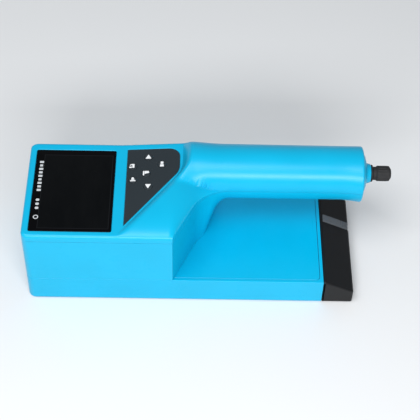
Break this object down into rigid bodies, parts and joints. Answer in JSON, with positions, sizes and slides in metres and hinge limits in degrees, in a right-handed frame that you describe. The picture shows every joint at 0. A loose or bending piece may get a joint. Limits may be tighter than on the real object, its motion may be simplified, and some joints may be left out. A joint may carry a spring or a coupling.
{
  "type": "handheld microchip scanner",
  "caption": "Handheld reader with a tilted-up round handle over a flat antenna base, a screen head, a small shield-shaped keypad, a battery door and a capped charging socket.",
  "frame": {"origin": "centre of the flat base, at its lowest face", "axes": "+X from the screen head to the handle's free end, +Z out of the screen and keys, +Y to the side that the handle is flush with"},
  "size_m": [0.27, 0.09, 0.0883],
  "materials": {
    "shell": "semi-gloss moulded cyan-blue plastic",
    "window": "gloss black screen window",
    "display": "dark display panel",
    "keypad": "matt textured dark grey film",
    "key": "matt dark grey silicone with white symbols",
    "rubber": "matt black rubber",
    "black": "fine-textured black plastic",
    "grey": "satin grey plastic",
    "steel": "plated steel",
    "board": "green circuit board laminate",
    "copper": "enamelled copper winding",
    "ferrite": "sintered dark grey ferrite",
    "plating": "gold-plated spring contact"
  },
  "bodies": {
    "scanner": {"top_shell": "shell", "body_shell": "shell", "base_tray": "shell", "base_cover": "shell", "end_cap": "shell", "screen_window": "window", "window_gasket": "rubber", "lcd_bezel": "steel", "lcd_panel": "display", "keypad_overlay": "keypad", "dome_sheet": "rubber", "keypad_board": "board", "main_board": "board", "processor_shield": "steel", "memory_chip": "black", "ribbon_connector": "black", "buzzer": "black", "power_connector": "black", "clock_cell": "steel", "antenna_coil": "copper", "antenna_former": "black", "ferrite_sheet": "ferrite", "reader_board": "board", "reader_shield": "steel", "battery_pack": "grey", "contact_positive": "plating", "contact_negative": "plating", "charge_socket": "steel", "socket_ring": "rubber", "charge_lead": "rubber", "antenna_lead": "rubber", "case_screw_1": "steel", "case_screw_2": "steel", "case_screw_3": "steel", "case_screw_4": "steel", "cover_screw_1": "steel", "cover_screw_2": "steel", "handle_screw_1": "steel", "handle_screw_2": "steel"},
    "key_up_body": {"key_up": "key"},
    "key_enter_body": {"key_enter": "key"},
    "key_down_body": {"key_down": "key"},
    "key_back_body": {"key_back": "key"},
    "key_light_body": {"key_light": "key"},
    "key_power_body": {"key_power": "key"},
    "door": {"battery_door": "black", "latch_pin": "steel"},
    "latch": {"door_latch": "grey"},
    "cap": {"dust_cap": "rubber"}
  },
  "joints": [
    {"name": "key_up_press", "type": "slide", "parent": "scanner", "child": "key_up_body", "axis": [0, 0, -1], "range_m": [0, 0.0008], "stiffness_N_per_m": 800},
    {"name": "key_enter_press", "type": "slide", "parent": "scanner", "child": "key_enter_body", "axis": [0, 0, -1], "range_m": [0, 0.0008], "stiffness_N_per_m": 800},
    {"name": "key_down_press", "type": "slide", "parent": "scanner", "child": "key_down_body", "axis": [0, 0, -1], "range_m": [0, 0.0008], "stiffness_N_per_m": 800},
    {"name": "key_back_press", "type": "slide", "parent": "scanner", "child": "key_back_body", "axis": [0, 0, -1], "range_m": [0, 0.0008], "stiffness_N_per_m": 800},
    {"name": "key_light_press", "type": "slide", "parent": "scanner", "child": "key_light_body", "axis": [0, 0, -1], "range_m": [0, 0.0008], "stiffness_N_per_m": 800},
    {"name": "key_power_press", "type": "slide", "parent": "scanner", "child": "key_power_body", "axis": [0, 0, -1], "range_m": [0, 0.0008], "stiffness_N_per_m": 800},
    {"name": "door_slide", "type": "slide", "parent": "scanner", "child": "door", "axis": [1, 0, 0], "range_m": [0, 0.03]},
    {"name": "latch_rock", "type": "hinge", "parent": "door", "child": "latch", "pos_m": [0.097, 0.017, 0.0155], "axis": [0, 1, 0], "range_deg": [0, 6], "stiffness_Nm_per_rad": 0.4},
    {"name": "cap_pull", "type": "slide", "parent": "scanner", "child": "cap", "axis": [1, 0, 0], "range_m": [0, 0.018]}
  ]
}
